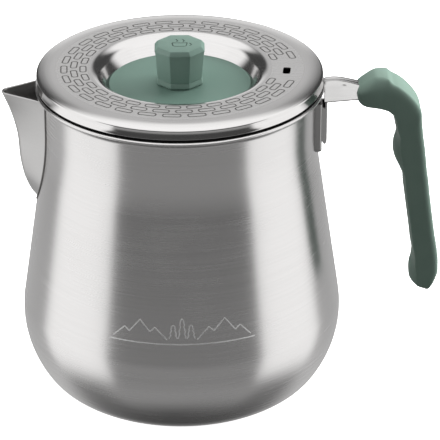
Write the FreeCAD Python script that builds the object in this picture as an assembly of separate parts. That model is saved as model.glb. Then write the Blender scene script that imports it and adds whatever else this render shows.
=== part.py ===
import FreeCAD, Part
import math
import os

# Camp coffee percolator: a stainless pot with a welded spout and a fixed handle, a lift-off lid with a knob,
# and a pump stem that carries the coffee basket and the water spreader.
# Millimetres. Z is the pot's axis and Z = 0 is the face that it stands on.
# The handle points along +X and the spout along -X.

Vector = FreeCAD.Vector
AXIS = Vector(0, 0, 1)
ORIGIN = Vector(0, 0, 0)

# ---- pot body ----
pot_sheet = 0.9             # wall of the spun pot
belly_radius = 75.0         # largest radius of the pot
belly_z = 42.0              # height of the largest radius
belly_arc = 49.6            # radius of the belly's arc
heel_arc = 21.0             # tighter arc between the belly and the underside
heel_start = 33.0           # degrees below level where the belly arc hands over to the heel arc
heel_end = 64.0             # degrees below level where the heel arc ends
base_arc = 12.0             # arc between the underside and the standing face
base_recess_radius = 33.0   # the middle of the base is pressed up inside this radius
base_recess = 0.8           # how far it is pressed up
base_recess_slope = 1.5     # width of the step round the recess
taper = 8.53                # degrees that the pot's upper wall leans in
neck_radius = 62.8          # outer radius of the straight neck
neck_arc = 134.0            # hollow arc between the leaning wall and the neck
flare_z = 151.2             # height where the neck starts to flare to the rim
flare_arc = 3.1             # outer radius of that flare
flare_turn = 60.0           # degrees that the flare turns outwards
flare_run = 1.2             # straight run from the flare into the rim bead
rim_bead = 0.9              # section radius of the rolled rim bead
rim_radius = 65.3           # radius of the bead's centre line
rim_z = 155.0               # height of the bead's centre line

# ---- strainer behind the spout ----
strainer_hole = 2.0         # hole radius
strainer_columns = 4
strainer_rows = 6
strainer_pitch_y = 5.0
strainer_pitch_z = 6.4
strainer_low_z = 114.0      # lowest row

# ---- spout ----
spout_sheet = 0.9
spout_inner_x = -57.0       # the spout's sides are drawn this far into the pot, then trimmed on its wall
# height, reach of the ridge from the axis, half width where the sides meet the pot, nose radius
spout_sections = [
    (152.0, 81.6, 13.4, 3.4),
    (142.0, 77.7, 13.4, 4.0),
    (131.0, 75.1, 13.4, 4.6),
    (119.0, 74.2, 13.2, 5.2),
    (110.0, 72.6, 11.6, 5.2),
    (102.5, 68.6, 7.6, 4.4),
    (97.0, 65.4, 3.6, 2.6),
]

# ---- handle bracket, strap and grip ----
bracket_low_z = 125.0
bracket_top_z = 149.0
bracket_face_x = 64.8       # outer face of the bracket plate
bracket_half_width = 12.0
bracket_sheet = 1.1
weld_radius = 1.5           # spot-weld dimples in the bracket plate
weld_depth = 0.35
weld_y = 8.8
weld_heights = (131.0, 143.0)
strap_sheet = 1.1
strap_top_z = 155.8
strap_leg_face_x = 67.4     # outer face of the leg that is welded on the bracket
strap_leg_half_width = 5.8
strap_half_width = 7.5      # at the pot
strap_tip_half_width = 5.2  # at the grip
strap_end_x = 84.0
strap_drop_pot = 148.5      # lower edge of the strap's sides at the pot
strap_drop_grip = 150.0     # and at the grip
tang_half_width = 4.5
grip_half_width = 9.75
grip_nose_half_width = 6.4
grip_chamfer = 1.6

# ---- lid ----
lid_sheet = 0.8
lid_top_z = 163.0
lid_radius = 65.4
lid_flat_radius = 56.0      # the flat ring on top ends here
lid_shoulder_drop = 2.0     # height of the rounded shoulder
lid_edge_z = 157.3          # lower edge of the skirt
recess_lip_radius = 42.5
recess_lip_arc = 7.5
recess_lip_turn = 60.0      # degrees of that arc
recess_floor_z = 154.0
vent_radius = 48.8
vent_turn = -5.9            # degrees round the lid, which sits at any angle
vent_width = 3.4            # along the radius
vent_length = 7.0           # round the lid
vent_corner = 0.9
screw_hole_radius = 2.6
collar_outer_radius = 61.3
collar_low_z = 147.0
collar_seat_low_z = 151.6   # the collar widens from here, to seat in the flared neck
collar_seat_radius = 63.2
collar_seat_top_z = 154.6
collar_flange_z = 158.0     # underside of the flange, inside the lid's skirt

# ---- knob and its fastening ----
disc_radius = 32.4
disc_thickness = 2.0
knob_top_z = 174.8
knob_waist_flats = 20.0     # across flats just above the foot
knob_head_flats = 22.6      # across flats at the start of the top chamfer
knob_foot_flats = 20.8
knob_foot_height = 1.2
knob_foot_slope = 2.2
knob_chamfer_height = 1.9
knob_top_flats = 19.7
screw_radius = 2.5
screw_tip_z = 166.0
screw_head_radius = 4.6
screw_head_height = 2.3
screw_recess_width = 1.2
screw_recess_depth = 1.3
insert_radius = 4.2
insert_low_z = 156.6
insert_top_z = 166.6
gasket_radius = 7.0
gasket_height = 1.0
washer_radius = 6.0
washer_height = 1.0
lock_washer_radius = 4.5
lock_washer_gap = 0.8

# ---- stem ----
stem_radius = 4.75
stem_bore = 4.05
stem_low_z = 12.6
stem_top_z = 141.0
foot_sheet = 0.8
foot_radius = 30.0
foot_low_z = 2.0
foot_notch = 2.6
stop_radius = 7.6
stop_low_z = 90.2
stop_top_z = 92.2

# ---- basket ----
basket_sheet = 0.8
basket_floor_z = 92.5
basket_floor_radius = 31.0
basket_corner = 4.5
basket_top_z = 133.6
basket_rim_radius = 37.0
basket_bead = 0.9
basket_tube_bore = 5.25
basket_tube_radius = 6.0
basket_tube_top_z = 131.0
basket_flange_radius = 9.0
basket_hole = 1.3
basket_hole_rings = [(12.5, 10), (18.0, 16), (23.5, 22), (29.0, 28)]

# ---- spreader ----
spreader_sheet = 0.8
spreader_z = 134.8
spreader_radius = 40.0
spreader_lip_z = 132.4
spreader_bore = 5.25
spreader_collar_top_z = 138.4
spreader_hole = 0.9
spreader_hole_rings = [(11.0, 8), (17.0, 14), (23.0, 20), (29.0, 26)]


# ---------------------------------------------------------------- helpers
def at(r, z):
    return Vector(r, 0, z)


def outline(start, *steps):
    """A closed wire in the XZ plane: each step is an end point, or (point on the arc, end point)."""
    edges = []
    here = start
    for step in steps + (start,):
        if isinstance(step[0], tuple):
            edges.append(Part.Arc(at(*here), at(*step[0]), at(*step[1])).toShape())
            here = step[1]
        elif math.dist(here, step) > 1e-6:
            edges.append(Part.LineSegment(at(*here), at(*step)).toShape())
            here = step
    return Part.Wire(edges)


def lathe(wire):
    return Part.Face(wire).revolve(ORIGIN, AXIS, 360)


def slab(wire, half_width):
    """The closed XZ wire pushed out to the same distance on both sides of the XZ plane."""
    solid = Part.Face(wire).extrude(Vector(0, 2 * half_width, 0))
    solid.translate(Vector(0, -half_width, 0))
    return solid


def block(x0, x1, y0, y1, z0, z1):
    return Part.makeBox(x1 - x0, y1 - y0, z1 - z0, Vector(x0, y0, z0))


def ring(inner, outer, z0, z1):
    tall = Part.makeCylinder(outer, z1 - z0, at(0, z0))
    return tall.cut(Part.makeCylinder(inner, z1 - z0, at(0, z0)))


def on_arc(centre, radius, degrees):
    turn = math.radians(degrees)
    return (centre[0] + radius * math.cos(turn), centre[1] + radius * math.sin(turn))


def arc_step(centre, radius, first, last):
    return (on_arc(centre, radius, (first + last) / 2), on_arc(centre, radius, last))


def hole_rings(rings, radius, z0, z1):
    holes = []
    for ring_radius, count in rings:
        for i in range(count):
            x, y = on_arc((0, 0), ring_radius, 360 * i / count)
            holes.append(Part.makeCylinder(radius, z1 - z0, Vector(x, y, z0)))
    return Part.makeCompound(holes)


def octagon(flats, z):
    corner = flats / 2 / math.cos(math.pi / 8)
    points = []
    for i in range(9):
        x, y = on_arc((0, 0), corner, 22.5 + 45 * i)
        points.append(Vector(x, y, z))
    return Part.makePolygon(points)


def save(name, shape):
    solids = shape.Solids
    print(name, "solids", len(solids), "valid", shape.isValid(), "volume", round(shape.Volume, 1))
    shape = solids[0] if len(solids) == 1 else shape
    shape.exportStep("parts/" + name + ".step")


# ---------------------------------------------------------------- pot
belly_centre = (belly_radius - belly_arc, belly_z)
heel_centre = on_arc(belly_centre, belly_arc - heel_arc, -heel_start)
heel_foot = on_arc(heel_centre, heel_arc, -heel_end)
base_slope = math.radians(90 - heel_end)
base_corner_radius = heel_foot[0] - heel_foot[1] / math.tan(base_slope)
base_centre = (base_corner_radius - base_arc * math.tan(base_slope / 2), base_arc)
wall_start = on_arc(belly_centre, belly_arc, taper)
neck_turn_length = neck_arc * math.tan(math.radians(taper) / 2)
neck_corner_z = wall_start[1] + (wall_start[0] - neck_radius) / math.tan(math.radians(taper))
neck_centre = (neck_radius + neck_arc, neck_corner_z + neck_turn_length)
flare_centre = (neck_radius + flare_arc, flare_z)


def pot_curve(offset):
    """Outline steps from the standing face up to the rim, moved outwards by offset."""
    flare_end = on_arc(flare_centre, flare_arc - offset, 180 - flare_turn)
    run = (math.sin(math.radians(flare_turn)), math.cos(math.radians(flare_turn)))
    return [
        (base_centre[0], -offset),
        arc_step(base_centre, base_arc + offset, -90, -heel_end),
        on_arc(heel_centre, heel_arc + offset, -heel_end),
        arc_step(heel_centre, heel_arc + offset, -heel_end, -heel_start),
        arc_step(belly_centre, belly_arc + offset, -heel_start, taper),
        on_arc(neck_centre, neck_arc - offset, 180 + taper),
        arc_step(neck_centre, neck_arc - offset, 180 + taper, 180),
        (neck_radius + offset, flare_z),
        arc_step(flare_centre, flare_arc - offset, 180, 180 - flare_turn),
        (flare_end[0] + flare_run * run[0], flare_end[1] + flare_run * run[1]),
    ]


def filled_pot(offset):
    """The pot as a solid block, used to trim what is welded on it."""
    steps = pot_curve(offset)
    return lathe(outline((0, -offset), *steps, (0, steps[-1][1])))


def base_press(offset):
    """Outline points of the pressed-up middle of the base, from the axis outwards."""
    return [
        (base_recess_radius + offset, base_recess - offset),
        (base_recess_radius + base_recess_slope + offset, -offset),
    ]


def pot_body():
    outer_steps = base_press(0) + pot_curve(0)
    inner_steps = base_press(-pot_sheet) + pot_curve(-pot_sheet)
    outer = lathe(outline((0, base_recess), *outer_steps, (0, outer_steps[-1][1])))
    top = inner_steps[-1]
    over = (top[0], top[1] + 5)
    inner = lathe(outline((0, base_recess + pot_sheet), *inner_steps, over, (0, over[1])))
    body = outer.cut(inner)
    body = body.fuse(Part.makeTorus(rim_radius, rim_bead, at(0, rim_z)))
    holes = []
    for column in range(strainer_columns):
        y = (column - (strainer_columns - 1) / 2) * strainer_pitch_y
        for row in range(strainer_rows):
            z = strainer_low_z + row * strainer_pitch_z
            start = Vector(-neck_radius - 6, y, z)
            holes.append(Part.makeCylinder(strainer_hole, 12, start, Vector(1, 0, 0)))
    return body.cut(Part.makeCompound(holes)).removeSplitter()


def spout_section(z, reach, half_width, nose, inset):
    """A V with a round nose; inset moves its sides and nose inwards."""
    seat_radius = neck_radius + max(0.0, (neck_corner_z - z) * math.tan(math.radians(taper)))
    seat = -math.sqrt(seat_radius**2 - half_width**2)
    centre = -(reach - nose)
    a = seat - centre
    lean = math.atan2(a, half_width) + math.asin(nose / math.hypot(a, half_width))
    radius = nose - inset
    touch = (centre - radius * math.cos(lean), radius * math.sin(lean))
    run = (spout_inner_x - touch[0]) / math.sin(lean)
    inside = (spout_inner_x, touch[1] + run * math.cos(lean))
    far_in = Vector(inside[0], inside[1], z)
    far = Vector(touch[0], touch[1], z)
    tip = Vector(centre - radius, 0, z)
    near = Vector(touch[0], -touch[1], z)
    near_in = Vector(inside[0], -inside[1], z)
    return Part.Wire([
        Part.LineSegment(far_in, far).toShape(),
        Part.Arc(far, tip, near).toShape(),
        Part.LineSegment(near, near_in).toShape(),
        Part.LineSegment(near_in, far_in).toShape(),
    ])


def spout():
    outer = Part.makeLoft([spout_section(*s, 0) for s in spout_sections], True, False)
    inner = Part.makeLoft([spout_section(*s, spout_sheet) for s in spout_sections], True, False)
    shell = outer.cut(inner)
    shell = shell.cut(filled_pot(0)).cut(Part.makeTorus(rim_radius, rim_bead, at(0, rim_z)))
    return max(shell.Solids, key=lambda s: s.Volume)


# ---------------------------------------------------------------- handle
def handle_bracket():
    """A shallow pressed plate whose sides turn back on the neck."""
    t = bracket_sheet
    w = bracket_half_width
    outer = block(neck_radius - 8, bracket_face_x, -w, w, bracket_low_z, bracket_top_z)
    edges = [e for e in outer.Edges if abs(e.Length - (bracket_top_z - bracket_low_z)) < 1e-6]
    edges = [e for e in edges if e.CenterOfMass.x > bracket_face_x - 0.1]
    outer = outer.makeFillet(1.4, edges)
    inner = block(neck_radius - 9, bracket_face_x - t, t - w, w - t, bracket_low_z - 1, bracket_top_z + 1)
    plate = outer.cut(inner).cut(filled_pot(0))
    for z in weld_heights:
        for y in (-weld_y, weld_y):
            start = Vector(bracket_face_x - weld_depth, y, z)
            plate = plate.cut(Part.makeCylinder(weld_radius, 1, start, Vector(1, 0, 0)))
    return max(plate.Solids, key=lambda s: s.Volume)


def strap_arm(inset):
    """Plan outline of the arm, tapering from the pot to the grip, as a tall prism."""
    w0 = strap_half_width - inset
    w1 = strap_tip_half_width - inset
    x0 = strap_leg_face_x - strap_sheet + inset
    x1 = strap_end_x
    low = strap_drop_pot - 2
    points = [(x0, -w0), (x1, -w1), (x1, w1), (x0, w0), (x0, -w0)]
    face = Part.Face(Part.makePolygon([Vector(x, y, low) for x, y in points]))
    return face.extrude(Vector(0, 0, strap_top_z - inset - low))


def tang():
    """The bar that runs down inside the grip."""
    top = strap_top_z - strap_sheet
    wire = outline(
        (74, top - 2.8), (74, top), (97.6, top),
        ((103.6, 152.4), (106.2, 146.4)),
        (107.4, 137.6), (117.2, 67.0), (114.4, 66.6), (104.6, 137.2), (103.4, 145.6),
        ((101.6, 149.9), (97.4, top - 2.8)),
    )
    return slab(wire, tang_half_width)


def handle_strap():
    arm = strap_arm(0).cut(strap_arm(strap_sheet))
    face_x = strap_leg_face_x
    under = strap_drop_pot - 5
    wedge = outline(
        (face_x - 3, strap_drop_pot), (strap_end_x, strap_drop_grip),
        (strap_end_x, under), (face_x - 3, under),
    )
    arm = arm.cut(slab(wedge, 20))
    w = strap_leg_half_width
    t = strap_sheet
    leg = block(face_x - t, face_x, -w, w, bracket_low_z + 0.2, strap_top_z - 0.4)
    for side in (-1, 1):
        y0, y1 = sorted((side * (w - t), side * w))
        leg = leg.fuse(block(bracket_face_x, face_x, y0, y1, bracket_low_z + 0.2, bracket_top_z))
    corner = block(face_x - 3, face_x + 1, -20, 20, bracket_low_z - 1, bracket_low_z + 3.2)
    bend = Part.makeCylinder(3, 40, Vector(face_x - 3, -20, bracket_low_z + 3.2), Vector(0, 1, 0))
    corner = corner.cut(bend)
    leg = leg.cut(corner)
    whole = arm.fuse(leg).fuse(tang()).removeSplitter()
    edges = [e for e in whole.Edges if top_edge(e)]
    return whole.makeFillet(0.9, edges)


def top_edge(edge):
    box = edge.BoundBox
    level = box.ZMin > strap_top_z - 0.01
    return level and box.YLength < 3 and box.XLength > 5


def grip_block():
    """Side outline of the grip: a head over the strap, a finger rest, a long leg and a hooked end."""
    wire = outline(
        (83.0, 145.8),
        ((80.8, 150.6), (83.0, 155.2)),
        (88.4, 158.0),
        (94.8, 158.0),
        ((104.6, 151.8), (110.4, 142.4)),
        (111.0, 136.0),
        (120.7, 69.0),
        ((121.2, 61.0), (119.4, 54.0)),
        (116.8, 48.4),
        (109.0, 52.4),
        ((106.2, 59.6), (108.6, 67.0)),
        (101.8, 108.0),
        ((99.9, 113.4), (97.8, 118.0)),
        ((97.0, 124.8), (98.6, 131.0)),
        ((98.8, 137.6), (95.6, 143.2)),
        ((93.4, 145.1), (90.6, 145.8)),
    )
    return slab(wire, grip_half_width)


def grip_plan():
    """Plan outline that narrows the head to a blunt nose round the strap."""
    nose = grip_nose_half_width
    wide = grip_half_width + 1
    points = [(79, -nose), (81.6, -nose), (89.5, -grip_half_width), (92, -wide), (130, -wide),
              (130, wide), (92, wide), (89.5, grip_half_width), (81.6, nose), (79, nose), (79, -nose)]
    face = Part.Face(Part.makePolygon([Vector(x, y, 40) for x, y in points]))
    return face.extrude(Vector(0, 0, 130))


def is_outer_rail(edge):
    """Long edges on the side that the palm rests on, from the head round to the hooked end."""
    centre = edge.CenterOfMass
    on_side = abs(abs(centre.y) - grip_half_width) < 1e-3
    outside = centre.x > 109 or (centre.z > 150 and centre.x > 84)
    return on_side and outside


def handle_grip(strap):
    body = grip_block()
    body = body.makeChamfer(grip_chamfer, [e for e in body.Edges if is_outer_rail(e)])
    body = body.common(grip_plan()).cut(strap)
    return max(body.Solids, key=lambda s: s.Volume)


# ---------------------------------------------------------------- lid
def lid_shell():
    t = lid_sheet
    lip_centre = (recess_lip_radius, lid_top_z - recess_lip_arc)
    lip_end = 90 + recess_lip_turn
    steep = math.radians(lip_end - 90)
    side = math.tan(steep)
    out_end = on_arc(lip_centre, recess_lip_arc, lip_end)
    in_end = on_arc(lip_centre, recess_lip_arc - t, lip_end)
    out_floor = (out_end[0] - (out_end[1] - recess_floor_z) / side, recess_floor_z)
    in_floor = (in_end[0] - (in_end[1] - recess_floor_z + t) / side, recess_floor_z - t)
    shoulder_z = lid_top_z - lid_shoulder_drop
    shoulder_width = lid_radius - lid_flat_radius
    half = math.sin(math.radians(45))
    out_mid = (lid_flat_radius + shoulder_width * half, shoulder_z + lid_shoulder_drop * half)
    in_mid = (out_mid[0] - t * 0.42, out_mid[1] - t * 0.91)
    wire = outline(
        (screw_hole_radius, recess_floor_z),
        out_floor, out_end,
        arc_step(lip_centre, recess_lip_arc, lip_end, 90),
        (lid_flat_radius, lid_top_z),
        (out_mid, (lid_radius, shoulder_z)),
        (lid_radius, lid_edge_z),
        (lid_radius - t, lid_edge_z),
        (lid_radius - t, shoulder_z),
        (in_mid, (lid_flat_radius, lid_top_z - t)),
        (recess_lip_radius, lid_top_z - t),
        arc_step(lip_centre, recess_lip_arc - t, 90, lip_end),
        in_floor,
        (screw_hole_radius, recess_floor_z - t),
    )
    lid = lathe(wire)
    slot = block(vent_radius - vent_width / 2, vent_radius + vent_width / 2,
                 -vent_length / 2, vent_length / 2, lid_top_z - 4, lid_top_z + 4)
    upright = [e for e in slot.Edges if e.BoundBox.ZLength > 7]
    slot = slot.makeFillet(vent_corner, upright)
    slot.rotate(Vector(0, 0, 0), Vector(0, 0, 1), vent_turn)
    return lid.cut(slot)


def lid_collar():
    t = lid_sheet
    outer = collar_outer_radius
    flange = lid_radius - lid_sheet
    seat = collar_seat_radius
    wire = outline(
        (outer - t, collar_low_z), (outer, collar_low_z), (outer, collar_seat_low_z),
        (seat, collar_seat_top_z), (seat, collar_flange_z), (flange, collar_flange_z),
        (flange, collar_flange_z + t), (seat - t, collar_flange_z + t),
        (seat - t, collar_seat_top_z + t / 3), (outer - t, collar_seat_low_z + t / 3),
    )
    return lathe(wire)


def lid_disc():
    return ring(screw_hole_radius, disc_radius, recess_floor_z, recess_floor_z + disc_thickness)


def knob():
    low = recess_floor_z + disc_thickness
    foot = low + knob_foot_height
    chamfer = knob_top_z - knob_chamfer_height
    sections = [
        octagon(knob_foot_flats, low),
        octagon(knob_foot_flats, foot),
        octagon(knob_waist_flats, foot + knob_foot_slope),
        octagon(knob_head_flats, chamfer),
        octagon(knob_top_flats, knob_top_z),
    ]
    body = Part.makeLoft(sections, True, True)
    pocket = Part.makeCylinder(insert_radius, insert_top_z - low, at(0, low))
    return body.cut(pocket)


def knob_insert():
    return ring(screw_radius, insert_radius, insert_low_z, insert_top_z)


def fastener_levels():
    """Undersides of the gasket, the washer and the lock washer, from the lid down."""
    gasket = recess_floor_z - lid_sheet - gasket_height
    washer = gasket - washer_height
    lock = washer - washer_height
    return gasket, washer, lock


def knob_screw():
    seat = fastener_levels()[2]
    low = seat - screw_head_height
    head = lathe(outline(
        (0, low), (screw_head_radius - 1.4, low),
        ((screw_head_radius - 0.4, low + 0.6), (screw_head_radius, low + 1.7)),
        (screw_head_radius, seat), (0, seat),
    ))
    half = screw_recess_width / 2
    reach = screw_head_radius * 0.62
    recess = block(-reach, reach, -half, half, low - 1, low + screw_recess_depth)
    recess = recess.fuse(block(-half, half, -reach, reach, low - 1, low + screw_recess_depth))
    shank = Part.makeCylinder(screw_radius, screw_tip_z - seat, at(0, seat))
    return head.fuse(shank).cut(recess).removeSplitter()


def lock_washer():
    seat = fastener_levels()[2]
    body = ring(screw_hole_radius, lock_washer_radius, seat, seat + washer_height)
    half = lock_washer_gap / 2
    return body.cut(block(0, 10, -half, half, seat - 1, seat + washer_height + 1))


# ---------------------------------------------------------------- stem, basket and spreader
def stem_foot():
    """Bell that traps the heated water, with notches round its rim to let fresh water in."""
    t = foot_sheet
    r = foot_radius
    bell = lathe(outline(
        (stem_radius, 22.0), (stem_radius + t, 22.0), (stem_radius + t, 17.0),
        ((6.6, 14.7), (8.9, 13.5)),
        (r - 3.6, 9.6),
        ((r - 0.8, 8.1), (r, 5.4)),
        (r, foot_low_z), (r - t, foot_low_z),
        (r - t, 5.4),
        ((r - 1.45, 7.5), (r - 3.75, 8.8)),
        (8.6, 12.7),
        ((5.9, 14.2), (stem_radius, 17.0)),
    ))
    for direction in (Vector(1, 0, 0), Vector(0, 1, 0)):
        start = direction * (-r - 1) + at(0, foot_low_z)
        bell = bell.cut(Part.makeCylinder(foot_notch, 2 * r + 2, start, direction))
    return bell


def stem_stop():
    r = stop_radius
    return lathe(outline(
        (stem_radius, stop_low_z), (r - 1.4, stop_low_z),
        ((r - 0.4, stop_low_z + 0.4), (r, stop_low_z + 1.4)),
        (r, stop_top_z), (stem_radius, stop_top_z),
    ))


def basket_shell():
    t = basket_sheet
    z = basket_floor_z
    hole = basket_tube_radius
    centre = (basket_floor_radius, z + basket_corner)
    lean = 4.0
    rim = basket_rim_radius
    wall = lathe(outline(
        (hole, z), (basket_floor_radius, z),
        arc_step(centre, basket_corner, -90, -lean),
        (rim, basket_top_z), (rim - t, basket_top_z),
        on_arc(centre, basket_corner - t, -lean),
        arc_step(centre, basket_corner - t, -lean, -90),
        (hole, z + t),
    ))
    bead = Part.makeTorus(rim + basket_bead / 3, basket_bead, at(0, basket_top_z))
    wall = wall.fuse(bead).removeSplitter()
    return wall.cut(hole_rings(basket_hole_rings, basket_hole, z - 1, z + 2))


def basket_tube():
    t = basket_sheet
    floor = basket_floor_z + t
    return lathe(outline(
        (basket_tube_bore, basket_floor_z), (basket_tube_radius, basket_floor_z),
        (basket_tube_radius, floor), (basket_flange_radius, floor),
        (basket_flange_radius, floor + 0.6), (basket_tube_radius, floor + 0.6),
        (basket_tube_radius, basket_tube_top_z), (basket_tube_bore, basket_tube_top_z),
    ))


def spreader():
    t = spreader_sheet
    z = spreader_z
    r = spreader_radius
    bore = spreader_bore
    plate = lathe(outline(
        (bore, z), (r - t, z), (r - t, spreader_lip_z), (r, spreader_lip_z),
        (r, z), ((r - t * 0.3, z + t * 0.7), (r - t, z + t)),
        (bore + t + 1, z + t),
        ((bore + t + 0.3, z + t + 0.3), (bore + t, z + t + 1)),
        (bore + t, spreader_collar_top_z), (bore, spreader_collar_top_z),
    ))
    return plate.cut(hole_rings(spreader_hole_rings, spreader_hole, z - 1, z + 2))


# ---------------------------------------------------------------- build
os.makedirs("parts", exist_ok=True)
save("pot_body", pot_body())
save("spout", spout())
save("handle_bracket", handle_bracket())
strap = handle_strap()
save("handle_strap", strap)
save("handle_grip", handle_grip(strap))
save("lid_shell", lid_shell())
save("lid_collar", lid_collar())
save("lid_disc", lid_disc())
save("knob", knob())
save("knob_insert", knob_insert())
gasket_z, washer_z, lock_z = fastener_levels()
save("knob_gasket", ring(screw_hole_radius, gasket_radius, gasket_z, gasket_z + gasket_height))
save("knob_washer", ring(screw_hole_radius, washer_radius, washer_z, washer_z + washer_height))
save("knob_lock_washer", lock_washer())
save("knob_screw", knob_screw())
save("stem_tube", ring(stem_bore, stem_radius, stem_low_z, stem_top_z))
save("stem_foot", stem_foot())
save("stem_stop", stem_stop())
save("basket_shell", basket_shell())
save("basket_tube", basket_tube())
save("spreader", spreader())
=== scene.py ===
import math

import bmesh
import bpy
from mathutils import Matrix, Vector
from mathutils.geometry import delaunay_2d_cdt


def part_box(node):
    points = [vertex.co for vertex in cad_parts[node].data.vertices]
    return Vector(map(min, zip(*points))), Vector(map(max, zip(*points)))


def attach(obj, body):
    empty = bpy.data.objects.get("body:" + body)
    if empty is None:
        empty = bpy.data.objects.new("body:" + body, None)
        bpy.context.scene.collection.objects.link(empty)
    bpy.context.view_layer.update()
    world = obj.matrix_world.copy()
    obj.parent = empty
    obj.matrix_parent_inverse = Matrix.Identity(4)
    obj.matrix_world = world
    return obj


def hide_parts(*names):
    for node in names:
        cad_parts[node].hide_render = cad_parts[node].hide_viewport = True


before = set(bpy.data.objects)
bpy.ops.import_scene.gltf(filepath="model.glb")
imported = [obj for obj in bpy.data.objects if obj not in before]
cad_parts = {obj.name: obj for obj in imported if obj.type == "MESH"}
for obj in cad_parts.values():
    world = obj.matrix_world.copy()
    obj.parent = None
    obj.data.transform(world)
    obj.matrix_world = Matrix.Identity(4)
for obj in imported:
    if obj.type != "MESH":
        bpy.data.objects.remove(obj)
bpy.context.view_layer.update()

# A camp coffee percolator. Shapes are drawn in millimetres and made in metres.
MM = 0.001
SEGMENTS = 240              # round a turned piece
SHARP = math.radians(32)    # edges that turn by more than this stay crisp


def node_box(node):
    """Lowest and highest corner of a CAD node, in millimetres."""
    low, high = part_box(node)
    return low / MM, high / MM


# ---- sizes
pot_high = node_box("pot_body")[1]
belly_radius = pot_high.x
rim_top = pot_high.z
lid_high = node_box("lid_shell")[1]
lid_radius = lid_high.x
lid_top = lid_high.z
lid_edge = 157.2            # lowest height of the skirt
knob_low, knob_high = node_box("knob")
disc_low, disc_high = node_box("lid_disc")
strap_high = node_box("handle_strap")[1]
bracket_low, bracket_high = node_box("handle_bracket")
basket_low = node_box("basket_shell")[0]
spreader_low, spreader_high = node_box("spreader")

pot_sheet = 0.9
belly_arc = 49.6
belly_z = 42.0
heel_arc = 21.0
heel_start = 33.0           # degrees below level
heel_end = 64.0
base_arc = 12.0
base_recess_radius = 33.0
base_recess = 0.8
taper = 8.53                # degrees that the upper wall leans in
neck_radius = 62.8
neck_arc = 134.0
flare_z = 151.2
flare_arc = 3.1
bead_section = 0.9
bead_radius = 65.3
bead_z = rim_top - bead_section


# ---- outlines
def arc(centre, radius, first, last, steps):
    """Points along an arc, with both ends; the angles are in degrees."""
    points = []
    for i in range(steps + 1):
        turn = math.radians(first + (last - first) * i / steps)
        points.append((centre[0] + radius * math.cos(turn), centre[1] + radius * math.sin(turn)))
    return points


def on_circle(radius, degrees):
    turn = math.radians(degrees)
    return (radius * math.cos(turn), radius * math.sin(turn))


def spaced(low, high, steps):
    """Evenly spaced numbers from low to high, with both."""
    return [low + (high - low) * i / steps for i in range(steps + 1)]


def rounded(corners, radius, steps=4):
    """A closed outline with each corner rounded by an arc; radius is one number or one for each corner."""
    points = []
    count = len(corners)
    for i in range(count):
        before, here, after = (Vector(corners[(i + k) % count]) for k in (-1, 0, 1))
        r = radius[i] if isinstance(radius, (list, tuple)) else radius
        into = (before - here).normalized()
        out = (after - here).normalized()
        half = into.angle(out) / 2
        if r <= 0 or half > math.radians(89.5):
            points += [tuple(here)] * (steps + 1)
            continue
        reach = r / math.tan(half)
        centre = here + (into + out).normalized() * (r / math.sin(half))
        first = here + into * reach - centre
        last = here + out * reach - centre
        sweep = first.angle_signed(last)
        for k in range(steps + 1):
            turned = Matrix.Rotation(-sweep * k / steps, 2) @ first
            points.append(tuple(centre + turned))
    return points


def bar(length, width, corner, centre, turn):
    """A rounded bar's outline, turned by some degrees and moved to centre."""
    a, b = length / 2, width / 2
    spin = Matrix.Rotation(math.radians(turn), 2)
    corners = [(-a, -b), (a, -b), (a, b), (-a, b)]
    return [tuple(spin @ Vector(p) + Vector(centre)) for p in rounded(corners, corner, 5)]


def curve_weights(t):
    """Weights of a curve's start, slope at the start, end and slope at the end, at t from 0 to 1."""
    t2, t3 = t * t, t * t * t
    return 2 * t3 - 3 * t2 + 1, t3 - 2 * t2 + t, 3 * t2 - 2 * t3, t3 - t2


def smooth_value(table, at, column):
    """Reads a table of rows that fall in their first column, along a smooth curve through the rows."""
    rows = sorted(table)
    at = min(max(at, rows[0][0]), rows[-1][0])
    i = max(k for k in range(len(rows) - 1) if rows[k][0] <= at)
    low, high = rows[i], rows[i + 1]
    span = high[0] - low[0]
    t = (at - low[0]) / span

    def slope(k):
        a, b = rows[max(k - 1, 0)], rows[min(k + 1, len(rows) - 1)]
        return (b[column] - a[column]) / (b[0] - a[0])

    w0, s0, w1, s1 = curve_weights(t)
    return w0 * low[column] + s0 * slope(i) * span + w1 * high[column] + s1 * slope(i + 1) * span


# ---- meshes
def placed(name, data):
    """Puts a new object in the scene."""
    thing = bpy.data.objects.new(name, data)
    bpy.context.scene.collection.objects.link(thing)
    return thing


def finished_mesh(name, bm):
    """Turns a bmesh in millimetres into a mesh in metres."""
    bmesh.ops.scale(bm, vec=(MM, MM, MM), verts=bm.verts)
    mesh = bpy.data.meshes.new(name)
    bm.to_mesh(mesh)
    bm.free()
    return mesh


def piece(name, bm, body, nodes, materials, crisp=SHARP):
    """Makes an object from a bmesh in millimetres, with crisp edges where it turns sharply.

    It rides on body, its finishes are the given materials, and it stands for the CAD nodes.
    """
    bmesh.ops.remove_doubles(bm, verts=bm.verts, dist=1e-4)
    bmesh.ops.dissolve_degenerate(bm, edges=bm.edges, dist=1e-5)
    bmesh.ops.recalc_face_normals(bm, faces=bm.faces)
    for face in bm.faces:
        face.smooth = True
    for edge in bm.edges:
        if len(edge.link_faces) == 2 and edge.calc_face_angle(0) > crisp:
            edge.smooth = False
    mesh = finished_mesh(name, bm)
    thing = placed(name, mesh)
    for material in materials:
        mesh.materials.append(material)
    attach(thing, body)
    if nodes:
        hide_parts(*nodes)
    return thing


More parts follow.
